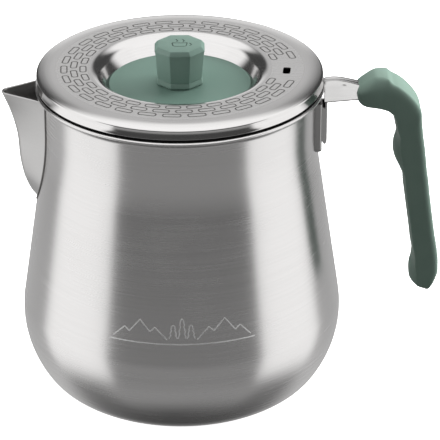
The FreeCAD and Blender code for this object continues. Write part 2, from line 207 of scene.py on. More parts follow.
def turn_strip(bm, profile, closed=False):
    """Turns a line of (radius, height) points round Z."""
    rings = []
    for r, z in profile:
        if r < 1e-6:
            rings.append([bm.verts.new((0, 0, z))])
        else:
            rings.append([bm.verts.new((*on_circle(r, 360 * i / SEGMENTS), z)) for i in range(SEGMENTS)])
    for a, b in zip(rings, rings[1:] + rings[:1] if closed else rings[1:]):
        if len(a) == 1 and len(b) == 1:
            continue
        for i in range(SEGMENTS):
            j = (i + 1) % SEGMENTS
            quad = [a[i % len(a)], a[j % len(a)], b[j % len(b)], b[i % len(b)]]
            bm.faces.new(list(dict.fromkeys(quad)))


def bridge(bm, a, b, closed=True, material=0):
    """Joins two rows of vertices by quads."""
    count = len(a)
    for i in range(count if closed else count - 1):
        j = (i + 1) % count
        bm.faces.new((a[i], a[j], b[j], b[i])).material_index = material


def skin(bm, sections, closed=True, caps=(False, False)):
    """Joins sections with the same number of points by quads; caps closes the first and the last."""
    rows = [[bm.verts.new(p) for p in section] for section in sections]
    for a, b in zip(rows, rows[1:]):
        bridge(bm, a, b, closed)
    for row, wanted in zip((rows[0], rows[-1]), caps):
        if wanted:
            bm.faces.new(row)


def level_loop(bm, loop, z):
    return [bm.verts.new((*p, z)) for p in loop]


def inside(point, loop):
    """Whether a point lies inside a closed loop."""
    hit = False
    x, y = point
    for (ax, ay), (bx, by) in zip(loop, loop[1:] + loop[:1]):
        if (ay > y) != (by > y) and x < (bx - ax) * (y - ay) / (by - ay) + ax:
            hit = not hit
    return hit


def reach_of(loop):
    """Centre and radius of a circle that holds the loop."""
    cx = sum(p[0] for p in loop) / len(loop)
    cy = sum(p[1] for p in loop) / len(loop)
    return (cx, cy), max(math.dist(p, (cx, cy)) for p in loop)


def flat_face(bm, outer, holes, grooves, z, depth=0.0, floor_material=0):
    """A flat face at height z inside outer, with holes, and with grooves (outer loop, inner loop or None)."""
    loops = [outer] + holes + [loop for pair in grooves for loop in pair if loop]
    points, edges = [], []
    for loop in loops:
        start = len(points)
        points += [Vector(p) for p in loop]
        edges += [(start + i, start + (i + 1) % len(loop)) for i in range(len(loop))]
    found, _, faces, _, _, _ = delaunay_2d_cdt(points, edges, [], 0, 1e-6)
    cut = [(loop, None, *reach_of(loop)) for loop in holes]
    cut += [(pair[0], pair[1], *reach_of(pair[0])) for pair in grooves]
    verts = [bm.verts.new((p.x, p.y, z)) for p in found]
    for face in faces:
        middle = sum((found[i] for i in face), Vector((0, 0))) / len(face)
        if not inside(middle, outer):
            continue
        if not any(math.dist(middle, centre) < radius and inside(middle, loop)
                   and not (island and inside(middle, island)) for loop, island, centre, radius in cut):
            bm.faces.new([verts[i] for i in face])
    for rim, island in grooves:
        wall(bm, rim, z, z - depth, floor_material)
        if island:
            wall(bm, island, z, z - depth, floor_material)
            low_rim, low_island = level_loop(bm, rim, z - depth), level_loop(bm, island, z - depth)
            bridge(bm, low_rim, low_island, material=floor_material)
        else:
            bm.faces.new(level_loop(bm, rim, z - depth)).material_index = floor_material


def wall(bm, loop, z0, z1, material=0):
    """An upright wall under a loop."""
    bridge(bm, level_loop(bm, loop, z0), level_loop(bm, loop, z1), material=material)


def circle(radius, count=SEGMENTS):
    return [on_circle(radius, 360 * i / count) for i in range(count)]


def rings_of_holes(rings, radius, sides):
    """Round holes on circles about the axis; rings says each circle's radius and number of holes."""
    return [[(cx + px, cy + py) for px, py in circle(radius, sides)]
            for ring, count in rings for cx, cy in circle(ring, count)]


# ---- node graphs
class Graph:
    """Short ways to add nodes to a tree."""

    def __init__(self, tree):
        self.tree = tree
        tree.nodes.clear()

    def add(self, kind, inputs=None, **settings):
        node = self.tree.nodes.new(kind)
        for name, value in settings.items():
            setattr(node, name, value)
        for name, value in (inputs or {}).items():
            if isinstance(value, bpy.types.NodeSocket):
                self.tree.links.new(value, node.inputs[name])
            else:
                node.inputs[name].default_value = value
        return node

    def sum(self, operation, a, b=0.0):
        return self.add("ShaderNodeMath", {0: a, 1: b}, operation=operation).outputs[0]

    def chain(self, operation, result, *parts):
        for part in parts:
            result = self.sum(operation, result, part)
        return result

    def step(self, value, low, high, out_low=0.0, out_high=1.0):
        """Runs smoothly from out_low at low to out_high at high."""
        inputs = {"Value": value, "From Min": low, "From Max": high, "To Min": out_low, "To Max": out_high}
        return self.add("ShaderNodeMapRange", inputs, interpolation_type="SMOOTHSTEP").outputs["Result"]

    def noise(self, vector, scale, detail=2.0, roughness=0.5):
        inputs = {"Vector": vector, "Scale": scale, "Detail": detail, "Roughness": roughness}
        return self.add("ShaderNodeTexNoise", inputs).outputs["Fac"]

    def mapped(self, scale):
        place = self.add("ShaderNodeTexCoord").outputs["Object"]
        return self.add("ShaderNodeMapping", {"Vector": place, "Scale": scale}).outputs[0]

    def tint(self, factor, a, b):
        ramp = self.add("ShaderNodeValToRGB", {"Fac": factor})
        ramp.color_ramp.elements[0].color = (*a, 1)
        ramp.color_ramp.elements[1].color = (*b, 1)
        return ramp.outputs["Color"]

    def bump(self, height, strength, distance):
        inputs = {"Height": height, "Strength": strength, "Distance": distance}
        return self.add("ShaderNodeBump", inputs).outputs["Normal"]


def new_material(name):
    material = bpy.data.materials.new(name)
    material.use_nodes = True
    graph = Graph(material.node_tree)
    shader = graph.add("ShaderNodeBsdfPrincipled")
    output = graph.add("ShaderNodeOutputMaterial")
    material.node_tree.links.new(shader.outputs[0], output.inputs["Surface"])
    return material, graph, shader


def plug(graph, shader, name, value):
    graph.tree.links.new(value, shader.inputs[name])


def fix(shader, values):
    """Gives sockets of a shader one value everywhere."""
    for name, value in values.items():
        shader.inputs[name].default_value = value


def steel(name, grain, colour, rough, spread=0.0, turned=False, bump=0.12):
    """Stainless steel; grain stretches the brushing, which runs along its small numbers.

    spread is how far the brushing smears a highlight; turned says that it runs round Z.
    """
    grain_share, broad_scale = 0.65, 0.22
    material, graph, shader = new_material(name)
    lines = graph.noise(graph.mapped(grain), 1.0, 3.0, 0.65)
    broad = graph.noise(graph.mapped(tuple(g * broad_scale for g in grain)), 1.0, 2.0)
    stain = graph.noise(graph.mapped((38, 38, 38)), 1.0, 3.0)
    both = graph.sum("ADD", graph.sum("MULTIPLY", lines, grain_share),
                     graph.sum("MULTIPLY", broad, 1 - grain_share))
    dark = tuple(c * 0.94 for c in colour)
    plug(graph, shader, "Base Color", graph.tint(graph.step(both, 0.3, 0.7), dark, colour))
    worn = graph.sum("ADD", graph.step(both, 0.25, 0.75, rough * 0.9, rough * 1.1),
                     graph.step(stain, 0.4, 0.8, 0.0, rough * 0.12))
    plug(graph, shader, "Roughness", worn)
    plug(graph, shader, "Normal", graph.bump(both, bump, 0.00002))
    fix(shader, {"Metallic": 1.0, "Anisotropic": spread, "Anisotropic Rotation": 0.25})
    if turned:
        tangent = graph.add("ShaderNodeTangent", direction_type="RADIAL", axis="Z")
        plug(graph, shader, "Tangent", tangent.outputs[0])
    return material


def moulded(name, low, high, rough):
    """Soft-touch moulding: a fine matt grain and a slight change of tone."""
    grain, cloud_scale, cloud_share = 2600.0, 55.0, 0.7
    material, graph, shader = new_material(name)
    place = graph.mapped((1, 1, 1))
    fine = graph.noise(place, grain, 2.0, 0.6)
    cloud = graph.noise(place, cloud_scale, 3.0)
    mix = graph.sum("ADD", graph.sum("MULTIPLY", cloud, cloud_share),
                    graph.sum("MULTIPLY", fine, 1 - cloud_share))
    plug(graph, shader, "Base Color", graph.tint(graph.step(mix, 0.35, 0.65), low, high))
    plug(graph, shader, "Roughness", graph.step(cloud, 0.3, 0.7, rough - 0.05, rough + 0.06))
    plug(graph, shader, "Normal", graph.bump(fine, 0.25, 0.00003))
    fix(shader, {"Specular IOR Level": 0.35})
    return material


# Steels: name, grain, colour, roughness, spread of the highlight, turned, depth of the grain.
# Mouldings: name, the two colours it runs between, roughness.
steel_tone = (0.64, 0.63, 0.625)
pot_steel = steel("pot_steel", (22, 22, 4200), steel_tone, 0.25, 0.60, True, 0.06)
lid_steel = steel("lid_steel", (90, 3800, 3800), steel_tone, 0.27)
skirt_steel = steel("skirt_steel", (22, 22, 4200), steel_tone, 0.12, 0.3, True, 0.06)
recess_steel = steel("recess_steel", (22, 22, 3200), steel_tone, 0.15, 0.4, True, 0.08)
# Painted shade: the spout's steel is a darker copy of the pot's steel, set to match how dark the spout looks
# under the light.
spout_steel = steel("spout_steel", (600, 600, 4200), (0.46, 0.455, 0.45), 0.36, bump=0.15)
# Painted shade: the strap's steel is a darker copy of the pot's steel, a compromise between how bright its
# top and sides look under the light.
strap_steel = steel("strap_steel", (120, 3600, 3600), (0.52, 0.515, 0.51), 0.19, bump=0.1)
bracket_steel = steel("bracket_steel", (1500, 1500, 160), (0.34, 0.335, 0.33), 0.16, bump=0.2)
weld_steel = steel("weld_steel", (700, 700, 2400), (0.20, 0.195, 0.19), 0.42)
etched_steel = steel("etched_steel", (1800, 1800, 1800), (0.16, 0.155, 0.15), 0.55)
mark_steel = steel("mark_steel", (1800, 1800, 1800), (0.80, 0.80, 0.795), 0.50)
# Painted shadow: a near-black steel for the collar's top band, standing in for the shade in the gap between
# the lid's skirt and the rim.
gap_shadow_steel = steel("gap_shadow_steel", (900, 900, 900), (0.05, 0.05, 0.05), 0.5)
sheet_steel = steel("sheet_steel", (30, 30, 2600), (0.60, 0.595, 0.59), 0.24, 0.3, True)
screw_steel = steel("screw_steel", (1200, 1200, 1200), (0.56, 0.56, 0.56), 0.22)
brass = steel("brass", (900, 900, 3000), (0.72, 0.50, 0.22), 0.26)
grip_green = moulded("grip_green", (0.198, 0.288, 0.242), (0.217, 0.312, 0.262), 0.50)
knob_green = moulded("knob_green", (0.150, 0.232, 0.196), (0.166, 0.252, 0.213), 0.50)
disc_green = moulded("disc_green", (0.138, 0.222, 0.186), (0.150, 0.238, 0.200), 0.55)
glyph_green = moulded("glyph_green", (0.045, 0.075, 0.062), (0.055, 0.085, 0.070), 0.6)
gasket_white = moulded("gasket_white", (0.62, 0.62, 0.59), (0.70, 0.70, 0.67), 0.45)


# ---- pot
belly_centre = (belly_radius - belly_arc, belly_z)
heel_centre = arc(belly_centre, belly_arc - heel_arc, -heel_start, 0, 1)[0]
heel_foot = arc(heel_centre, heel_arc, -heel_end, 0, 1)[0]
base_slope = math.radians(90 - heel_end)
base_corner = heel_foot[0] - heel_foot[1] / math.tan(base_slope)
base_centre = (base_corner - base_arc * math.tan(base_slope / 2), base_arc)
wall_start = arc(belly_centre, belly_arc, taper, 0, 1)[0]
neck_corner = wall_start[1] + (wall_start[0] - neck_radius) / math.tan(math.radians(taper))
neck_centre = (neck_radius + neck_arc, neck_corner + neck_arc * math.tan(math.radians(taper) / 2))
flare_centre = (neck_radius + flare_arc, flare_z)


def pot_wall(offset):
    """The wall from the standing face to the flared neck, moved outwards by offset."""
    return (
        arc(base_centre, base_arc + offset, -90, -heel_end, 8)
        + arc(heel_centre, heel_arc + offset, -heel_end, -heel_start, 12)
        + arc(belly_centre, belly_arc + offset, -heel_start, taper, 30)[1:]
        + arc(neck_centre, neck_arc - offset, 180 + taper, 180, 14)
        + arc(flare_centre, flare_arc - offset, 180, 120, 10)
    )


wall_line = pot_wall(0)


def wall_radius(z):
    """Outer radius of the pot at a height above its belly."""
    upper = [p for p in wall_line if p[1] > belly_z]
    for (r0, z0), (r1, z1) in zip(upper, upper[1:]):
        if z0 <= z <= z1:
            return r0 + (r1 - r0) * (z - z0) / max(z1 - z0, 1e-9)
    return neck_radius


def make_pot():
    step = 1.5
    bead = (bead_radius, bead_z)
    outer = [(0, base_recess), (base_recess_radius - 0.4, base_recess),
             (base_recess_radius + 0.2, base_recess - 0.12), (base_recess_radius + step - 0.2, 0.12),
             (base_recess_radius + step + 0.5, 0)] + pot_wall(0)
    curl = arc(bead, bead_section, -117, 183, 26)
    inner = [(0, base_recess + pot_sheet), (base_recess_radius, base_recess + pot_sheet),
             (base_recess_radius + step, pot_sheet)] + pot_wall(-pot_sheet)
    bm = bmesh.new()
    turn_strip(bm, outer + curl + inner[::-1])
    pot = piece("pot_body_shell", bm, "pot", ["pot_body"], [pot_steel])
    drill_strainer(pot)
    return pot


def drill_strainer(pot):
    """Cuts the strainer's holes in the neck behind the spout."""
    hole, pitch_y, pitch_z, low_z, columns, rows = 2.0, 5.0, 6.4, 114.0, 4, 6
    bm = bmesh.new()
    for column in range(columns):
        for row in range(rows):
            y = (column - (columns - 1) / 2) * pitch_y
            z = low_z + row * pitch_z
            place = Matrix.Translation((-neck_radius - 1, y, z)) @ Matrix.Rotation(math.pi / 2, 4, "Y")
            bmesh.ops.create_cone(bm, cap_ends=True, segments=32, radius1=hole, radius2=hole, depth=16,
                                  matrix=place)
    drill = placed("drill", finished_mesh("drill", bm))
    cut = pot.modifiers.new("strainer", "BOOLEAN")
    cut.object = drill
    cut.solver = "EXACT"
    graph = bpy.context.evaluated_depsgraph_get()
    bored = bpy.data.meshes.new_from_object(pot.evaluated_get(graph))
    pot.modifiers.clear()
    pot.data = bored
    bpy.data.objects.remove(drill)


# ---- spout
# height, reach of the ridge, half width where the sides meet the neck, nose radius
spout_rows = [
    (152.0, 81.6, 14.8, 4.2),
    (142.0, 77.7, 14.4, 4.4),
    (131.0, 75.1, 14.0, 4.8),
    (119.0, 74.2, 13.4, 5.2),
    (110.0, 72.6, 11.6, 5.2),
    (102.5, 69.6, 7.2, 4.0),
    (98.6, 66.9, 3.2, 2.2),
]
spout_sheet = 0.9
spout_seat_depth = 0.35     # how far the spout's edges reach into the neck
spout_foot = spout_rows[-1][0]
spout_mouth = spout_rows[0][0]


def spout_line(z, inset):
    """One level of the spout, from the far seat round the nose to the near seat."""
    reach, half, nose = (smooth_value(spout_rows, z, k) for k in (1, 2, 3))
    seat_radius = wall_radius(z) - spout_seat_depth
    seat = -math.sqrt(max(seat_radius ** 2 - half ** 2, 1.0))
    nose = max(min(nose, reach + seat - 0.2), inset + 0.05)
    centre = min(-(reach - nose), seat - 0.2)
    a = seat - centre
    lean = math.atan2(a, half) + math.asin(min(nose / math.hypot(a, half), 1.0))
    radius = nose - inset
    touch = Vector((centre - radius * math.cos(lean), radius * math.sin(lean)))
    away = Vector((math.sin(lean), math.cos(lean)))
    run = (seat - touch.x) / away.x
    end = touch + away * run
    side = [end.lerp(touch, i / 10) for i in range(10)]
    first = math.atan2(touch.y, touch.x - centre)
    turns = [first + (2 * math.pi - 2 * first) * i / 20 for i in range(21)]
    nose_points = [Vector((centre + radius * math.cos(t), radius * math.sin(t))) for t in turns]
    near = [Vector((p.x, -p.y)) for p in reversed(side)]
    line = []
    for p in side + nose_points + near:
        least = wall_radius(z) - spout_seat_depth - 0.1
        if p.length < least:
            p = p * (least / p.length)
        line.append((p.x, p.y, z))
    return line


def make_spout():
    bm = bmesh.new()
    lip = 0.25
    levels = spaced(spout_foot, spout_mouth, 56)
    outer, inner = ([spout_line(z, inset) for z in levels] for inset in (0, spout_sheet))
    outer_rim, inner_rim = ([(x, y, spout_mouth + lip) for x, y, _ in spout_line(spout_mouth, inset)]
                            for inset in (lip, spout_sheet - lip))
    skin(bm, outer + [outer_rim, inner_rim] + inner[::-1] + [outer[0]], closed=False)
    return piece("spout_shell", bm, "pot", ["spout"], [spout_steel])


def make_spout_weld():
    """The weld bead where the spout's sides meet the neck."""
    bm = bmesh.new()
    bead = 0.5
    for side in (-1, 1):
        path = []
        for z in spaced(spout_foot + 0.2, spout_mouth, 59):
            half = smooth_value(spout_rows, z, 2) + 0.1
            radius = wall_radius(z) + 0.05
            path.append(Vector((-math.sqrt(radius ** 2 - half ** 2), side * half, z)))
        tube(bm, path, bead, 8)
    return piece("spout_weld", bm, "pot", [], [weld_steel])


def tube(bm, path, radius, sides):
    """A closed round bar along a path."""
    sections = []
    for i, p in enumerate(path):
        ahead = path[min(i + 1, len(path) - 1)] - path[max(i - 1, 0)]
        along = ahead.normalized()
        across = along.orthogonal() if abs(along.x) > 0.9 else along.cross(Vector((1, 0, 0))).normalized()
        up = along.cross(across)
        ring = []
        for k in range(sides):
            turn = 2 * math.pi * k / sides
            ring.append(p + across * radius * math.cos(turn) + up * radius * math.sin(turn))
        sections.append(ring)
    skin(bm, sections, caps=(True, True))


# ---- bracket and strap
def make_bracket():
    """A pressed plate with rounded edges that turn back on the neck, and four weld dimples."""
    bm = bmesh.new()
    face = bracket_high.x
    half = bracket_high.y
    t, bend, corner_trim, corner_rise = 1.1, 1.5, 0.9, 1.2
    low, high = bracket_low.z, bracket_high.z

    def plan(inset, z):
        w, x, r = half - inset, face - inset, max(bend - inset, 0.3)
        seat = math.sqrt(wall_radius(z) ** 2 - w ** 2) - 0.2
        near = [(seat, -w), (x - r, -w)] + arc((x - r, r - w), r, -90, 0, 6)[1:]
        far = [(px, -py) for px, py in reversed(near)]
        flat = [(x, (r - w) + (w - r) * 2 * i / 36) for i in range(1, 36)]
        return near + flat + far

    outer, inner = [], []
    for z in spaced(low, high, 60):
        trim = corner_trim * max(0.0, 1 - (z - low) / corner_rise) ** 2
        outer.append([dimpled(x, y, z, face) for x, y in narrowed(plan(0, z), trim)])
        inner.append([(x, y, z) for x, y in narrowed(plan(t, z), trim)])
    skin(bm, outer + inner[::-1] + [outer[0]], closed=False)
    return piece("handle_bracket_plate", bm, "pot", ["handle_bracket"], [bracket_steel])


def narrowed(points, trim):
    """Draws the sides in a little, which rounds the plate's lower corners."""
    return [(x, math.copysign(max(abs(y) - trim, 0.0), y) if abs(y) > 8 else y) for x, y in points]


def dimpled(x, y, z, face):
    """Sinks a weld dimple in the plate's face."""
    radius, depth = 1.7, 0.4
    for height in (131.0, 143.0):
        for across in (-8.8, 8.8):
            gone = math.hypot(y - across, z - height) / radius
            if gone < 1 and x > face - 0.5:
                return (x - depth * (1 - gone * gone), y, z)
    return (x, y, z)


strap_sheet = 1.1
leg_face = 67.4
leg_back = leg_face - strap_sheet


def make_strap():
    """The arm is a channel with a narrow rounded back and sloping sides; a leg runs down the bracket."""
    bm = bmesh.new()
    start, crest, end = 65.9, 70.7, 84.0
    crest_z = strap_high.z + 1.1
    leg_half, leg_top, t = 5.8, 150.4, strap_sheet
    dent = Vector((75.2, crest_z - 1.7))
    dent_half_length, dent_half_height, dent_depth = 1.2, 0.9, 0.35

    def section(x, inset):
        along = (x - start) / (end - start)
        if x < crest:
            crown = crest_z - 0.7 * ((crest - x) / (crest - start)) ** 2
        else:
            crown = crest_z - 3.0 * ((x - crest) / (end - crest)) ** 1.5
        crown -= inset
        back = 3.4 - inset
        foot = 7.4 - 0.9 * along ** 2 - inset
        low = 148.5 + 1.2 * along
        r = 2.0 - 0.9 * inset
        hem = [(-foot + 1.0, low - 0.9), (-foot + 0.3, low - 0.6)]
        turned = rounded([(-foot, low), (-back, crown), (back, crown), (foot, low)], [0, r, r, 0], 6)
        near, far = turned[7:14], turned[14:21]
        rise = [tuple(Vector((-foot, low)).lerp(Vector(near[0]), i / 10)) for i in range(10)]
        flat = near[-1][0]
        top = [(flat * (1 - i / 4), crown - 0.35 * math.sin(math.pi * i / 8) ** 2) for i in range(1, 8)]
        fall = [(-y, z) for y, z in reversed(rise)]
        line = []
        for y, z in hem + rise + near + top + far + fall + [(-y, z) for y, z in reversed(hem)]:
            along_dent = (x - dent.x) / dent_half_length
            up_dent = (z - crown + crest_z - dent.y) / dent_half_height
            gone = math.exp(-along_dent ** 2 - up_dent ** 2) if y < 0 else 0.0
            line.append((x, y + dent_depth * gone, z))
        return line

    skin(bm, [section(x, 0) + section(x, t)[::-1] for x in spaced(start, end, 60)], caps=(True, True))
    plan = rounded([(leg_back, -leg_half + 0.2), (leg_face, -leg_half), (leg_face, leg_half),
                    (leg_back, leg_half - 0.2)], [0.1, 0.5, 0.5, 0.1])
    low = bracket_low.z + 0.2
    leg = [[(*p, z) for p in tapered_leg(plan, z - low)] for z in spaced(low, leg_top, 40)]
    skin(bm, leg, caps=(True, True))
    for side in (-1, 1):
        y0, y1 = side * (leg_half - t), side * leg_half
        back, front, cheek_top = bracket_high.x, leg_face - 0.4, leg_top - 6
        outline = [(back, low + 3.2), (back + 0.02, cheek_top), (front, cheek_top), (front, low + 2.6),
                   (front - 0.8, low + 0.8)]
        skin(bm, [[(x, y, z) for x, z in rounded(outline, [0.2, 0.1, 0.1, 0.6, 0.6])] for y in (y0, y1)],
             caps=(True, True))
    return piece("handle_strap_arm", bm, "pot", ["handle_strap"], [strap_steel])


def tapered_leg(plan, rise):
    """Rounds the leg's lower end."""
    r = 3.0
    if rise >= r:
        return plan
    back = r - math.sqrt(max(r * r - (r - rise) ** 2, 0.0))
    return [(x - min(back, 1.0) * (x - leg_back) / strap_sheet, y * (1 - 0.12 * back / r)) for x, y in plan]


# ---- grip
# Each station of the grip, from the nose to the hooked end: middle of the outer side, outer edge of the
# flat side, inner edge of the flat side, middle of the inner side (each as x, z), and half the width.
grip_stations = [
    ((80.6, 152.3), (81.2, 151.6), (81.2, 149.4), (80.6, 148.8), 7.2),
    ((81.8, 154.4), (82.6, 151.6), (82.6, 147.6), (81.8, 147.0), 8.4),
    ((84.6, 156.6), (85.2, 152.4), (84.8, 146.6), (84.2, 146.0), 9.2),
    ((88.7, 159.4), (89.2, 152.4), (88.2, 146.0), (88.2, 145.6), 9.4),
    ((91.8, 159.7), (92.2, 152.2), (90.6, 145.8), (90.6, 145.4), 9.8),
    ((94.4, 159.3), (95.0, 151.4), (92.6, 145.3), (92.6, 144.9), 9.8),
    ((95.2, 158.9), (95.7, 150.9), (93.1, 145.1), (93.1, 144.8), 9.8),
    ((97.2, 157.0), (97.6, 150.6), (94.6, 144.6), (94.4, 144.2), 9.8),
    ((99.6, 155.7), (99.6, 149.7), (96.0, 143.7), (95.7, 143.3), 9.8),
    ((102.6, 153.5), (101.7, 148.4), (97.1, 142.6), (96.7, 142.3), 9.8),
    ((105.3, 150.9), (103.6, 146.5), (98.0, 141.3), (97.5, 141.0), 9.8),
    ((107.6, 148.2), (105.1, 144.3), (98.7, 139.8), (98.1, 139.6), 9.8),
    ((109.5, 145.2), (106.4, 142.1), (99.2, 138.0), (98.4, 137.9), 9.8),
    ((110.6, 142.2), (107.5, 139.8), (99.6, 136.0), (98.6, 136.0), 9.8),
    ((110.8, 138.8), (107.2, 137.5), (100.1, 133.4), (99.2, 133.4), 9.8),
    ((111.2, 135.2), (107.2, 134.5), (100.9, 131.0), (100.0, 131.0), 9.8),
    ((111.8, 130.0), (108.0, 129.6), (100.9, 128.0), (99.5, 128.0), 9.8),
    ((112.5, 125.6), (108.5, 125.4), (101.3, 125.0), (98.5, 125.0), 9.8),
    ((113.0, 121.6), (109.0, 121.4), (101.8, 121.6), (98.3, 121.6), 9.8),
    ((113.5, 117.6), (109.5, 117.4), (102.3, 118.0), (99.2, 118.0), 9.8),
    ((114.0, 113.0), (110.2, 112.8), (102.9, 114.0), (101.2, 114.0), 9.8),
    ((114.8, 108.0), (110.8, 107.8), (103.9, 109.6), (103.0, 109.6), 9.8),
    ((115.5, 102.0), (111.7, 101.8), (104.5, 104.0), (103.6, 104.0), 9.8),
    ((118.5, 81.0), (114.7, 80.8), (107.7, 82.0), (106.8, 82.0), 9.8),
    ((119.9, 73.0), (116.0, 72.9), (108.8, 74.0), (107.9, 74.0), 9.8),
    ((120.7, 67.0), (116.8, 67.0), (109.8, 68.4), (108.9, 68.4), 9.8),
    ((120.9, 62.6), (117.0, 62.8), (109.9, 64.4), (108.8, 64.4), 9.8),
    ((120.8, 59.4), (116.9, 59.8), (110.5, 60.6), (107.7, 60.8), 9.8),
    ((119.3, 54.8), (116.6, 55.2), (110.6, 55.8), (107.8, 55.4), 9.8),
    ((118.3, 52.8), (116.0, 53.2), (110.6, 54.4), (108.8, 53.9), 9.7),
    ((117.3, 51.4), (115.4, 51.9), (111.4, 53.4), (110.6, 52.8), 9.5),
    ((116.3, 50.9), (115.0, 51.6), (113.0, 52.4), (112.8, 51.9), 8.8),
]
# How far in from the side faces the outer side is rounded: along the head, by x, and down the leg.
grip_rounding = [(80.0, 5.2), (90.0, 5.2), (93.0, 4.6), (96.0, 3.2), (99.0, 2.6), (112.0, 2.8)]
grip_leg_rounding = 3.2
grip_head_low = 136.0
grip_crisp = math.radians(20)


def make_grip():
    """The moulded grip: a blunt nose, a faceted head, a finger rest, a long leg and a hooked end."""
    bm = bmesh.new()
    sections = []
    for outer_middle, outer_edge, inner_edge, inner_middle, half in grip_stations:
        palm, brow, shelf, finger = (Vector(p) for p in (outer_middle, outer_edge, inner_edge, inner_middle))
        rounding = grip_leg_rounding
        if palm.y > grip_head_low:
            rounding = min(smooth_value(grip_rounding, palm.x, 1), half * 0.6)
        ring = []
        for side in (1, -1):
            chamfer = []
            for i in range(9):
                turn = math.pi / 2 * i / 8
                p = brow + (palm - brow) * math.sin(turn)
                chamfer.append((p.x, side * (half - rounding * (1 - math.cos(turn))), p.y))
            ring += chamfer if side > 0 else chamfer[::-1]
        flank = [brow.lerp(shelf, i / 4) for i in (1, 2, 3)]
        ring += [(p.x, -half, p.y) for p in flank]
        for i in range(21):
            across = -1 + 2 * i / 20
            p = shelf + (finger - shelf) * (1 - abs(across) ** 2.6)
            ring.append((p.x, across * half, p.y))
        ring += [(p.x, half, p.y) for p in reversed(flank)]
        sections.append(ring)
    skin(bm, smooth_sections(sections, 4), caps=(True, True))
    return piece("handle_grip_moulding", bm, "pot", ["handle_grip"], [grip_green], grip_crisp)


def smooth_sections(sections, steps):
    """Adds sections between the given ones along a smooth curve."""
    result = []
    last = len(sections) - 1
    for i in range(last):
        a, b, c, d = (sections[min(max(i + k, 0), last)] for k in (-1, 0, 1, 2))
        for s in range(steps):
            w0, s0, w1, s1 = curve_weights(s / steps)
            row = []
            for pa, pb, pc, pd in zip(a, b, c, d):
                pa, pb, pc, pd = Vector(pa), Vector(pb), Vector(pc), Vector(pd)
                near, far = (pc - pb).length, max((pb - pa).length, 1e-6)
                ahead = max((pd - pc).length, 1e-6)
                m0 = (pc - pa) * near / (near + far)
                m1 = (pd - pb) * near / (near + ahead)
                row.append(pb * w0 + m0 * s0 + pc * w1 + m1 * s1)
            result.append(row)
    result.append([Vector(p) for p in sections[-1]])
    return result


# ---- lid
lid_sheet = 0.8
lid_flat_radius = 55.0
lid_slope = 14.0            # degrees that the lid's crown falls before it turns down into the skirt
lid_turn_radius = 1.1
lip_radius = 42.2
lip_arc = 7.5
lid_turn = -4.0             # degrees that the lid's pattern is turned from the handle
lid_polish_radius = lid_flat_radius + 1.8
recess_lean = 150           # degrees: where the rounded lip runs into the recess's sloping wall
screw_hole = 2.6
vent_turn = -5.9
vent_radius, vent_width, vent_length = 48.8, 3.4, 7.0
capsule_width, capsule_line, capsule_depth = 3.3, 0.55, 0.16


def make_lid():
    bm = bmesh.new()
    t = lid_sheet
    floor = disc_low.z
    lip = (lip_radius, lid_top - lip_arc)
    wall_end = arc(lip, lip_arc, recess_lean, 0, 1)[0]
    slope = math.tan(math.radians(recess_lean - 90))
    foot = wall_end[0] - (wall_end[1] - floor) / slope
    lean = math.radians(lid_slope)
    corner_radius = lid_radius - lid_turn_radius
    crown_radius = (corner_radius + lid_turn_radius * math.sin(lean) - lid_flat_radius) / math.sin(lean)
    crown = (lid_flat_radius, lid_top - crown_radius)
    corner = (corner_radius, crown[1] + (crown_radius - lid_turn_radius) * math.cos(lean))

    upper_inner = [(screw_hole, floor), (foot - 0.9, floor), (foot - 0.3, floor + 0.12)]
    upper_inner += [(foot + 0.25, floor + 0.5)] + arc(lip, lip_arc, recess_lean, 90, 14)
    hem = lid_radius + 0.22
    upper_outer = arc(crown, crown_radius, 90, 90 - lid_slope, 14)
    upper_outer += arc(corner, lid_turn_radius, 90 - lid_slope, 0, 10)[1:]
    upper_outer += [(lid_radius, lid_edge + 0.75), (hem, lid_edge + 0.38), (hem, lid_edge + 0.15)]
    upper_outer += [(lid_radius, lid_edge)]
    under_outer = [(lid_radius - t + 0.2, lid_edge), (lid_radius - t, lid_edge + 0.2)]
    under_outer += (arc(corner, lid_turn_radius - t, 0, 90 - lid_slope, 8)
                    + arc(crown, crown_radius - t, 90 - lid_slope, 90, 14)[1:])
    under_inner = arc(lip, lip_arc - t, 90, recess_lean, 14) + [(foot - 0.45, floor - t)]
    under_inner += [(screw_hole, floor - t)]
    turn_strip(bm, under_inner + upper_inner)
    turn_strip(bm, upper_outer + under_outer)
    for face in bm.faces:
        face.material_index = lid_zone(face)
    vent = bar(vent_width, vent_length, 0.9, on_circle(vent_radius, vent_turn), vent_turn)
    holes = [circle(lip_radius), vent]
    flat_face(bm, circle(lid_flat_radius), holes, capsules(), lid_top, capsule_depth, 3)
    flat_face(bm, circle(lid_flat_radius), holes, [], lid_top - t)
    wall(bm, vent, lid_top, lid_top - t)
    return piece("lid_shell_stamping", bm, "lid", ["lid_shell"],
                 [lid_steel, skirt_steel, recess_steel, etched_steel])


def lid_zone(face):
    """The shoulder and skirt are polished more than the top, and so is the recess."""
    r = max(math.hypot(v.co.x, v.co.y) for v in face.verts)
    if r > lid_polish_radius:
        return 1
    return 2 if r < lip_radius + 0.05 else 0


def capsules():
    """Three staggered rings of capsule outlines, with a gap at the vent."""
    pairs = []
    pitch = 12              # degrees between neighbours in a ring
    # radius, length, degrees from the vent to the first, number on each side, number opposite the vent
    rings = [(52.7, 8.5, 18, 14, 0), (48.35, 7.8, 24, 13, 1), (44.05, 7.1, 18, 14, 0)]
    for radius, length, first, count, middle in rings:
        angles = [s * (first + pitch * k) for k in range(count) for s in (-1, 1)] + [180] * middle
        for angle in angles:
            centre = on_circle(radius, angle + lid_turn)
            turn = angle + lid_turn + 90
            outer = bar(length, capsule_width, 1.3, centre, turn)
            cut = 2 * capsule_line
            pairs.append((outer, bar(length - cut, capsule_width - cut, 0.8, centre, turn)))
    return pairs


